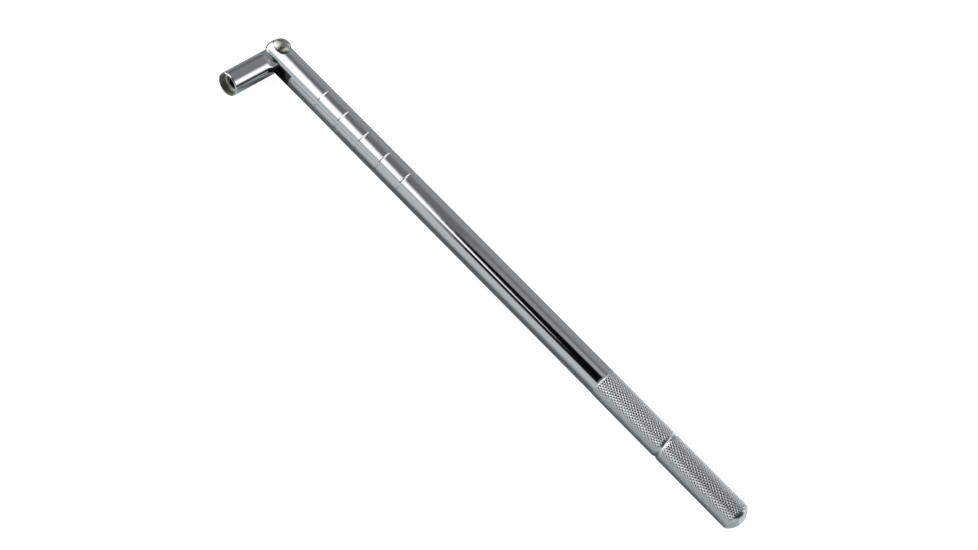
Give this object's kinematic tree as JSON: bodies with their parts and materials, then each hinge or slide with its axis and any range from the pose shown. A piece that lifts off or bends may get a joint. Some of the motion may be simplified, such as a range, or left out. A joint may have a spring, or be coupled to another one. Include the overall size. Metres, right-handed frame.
{
  "type": "breaker bar",
  "caption": "Round steel lever with a knurled grip, fulcrum grooves and a hinged, internally threaded head that screws onto a valve stem and pulls it.",
  "frame": {"origin": "centre of the underside of the whole tool at rest, head square to the bar", "axes": "+X along the bar from the rivet to the handle, +Z along the rivet, -Y from the rivet to the mouth of the head"},
  "size_m": [0.282, 0.0366, 0.0174],
  "materials": {
    "bar_chrome": "polished chrome plate, knurled at the grip",
    "head_chrome": "polished chrome plate, bored and tapped inside",
    "rivet_nickel": "satin nickel plate"
  },
  "bodies": {
    "lever": {"bar": "bar_chrome", "pivot_rivet": "rivet_nickel"},
    "head": {"swivel_head": "head_chrome"}
  },
  "joints": [
    {"name": "head_swivel", "type": "hinge", "parent": "lever", "child": "head", "pos_m": [-0.135, 0.01185, 0.0087], "axis": [0, 0, 1], "range_deg": [-210, 27]}
  ]
}
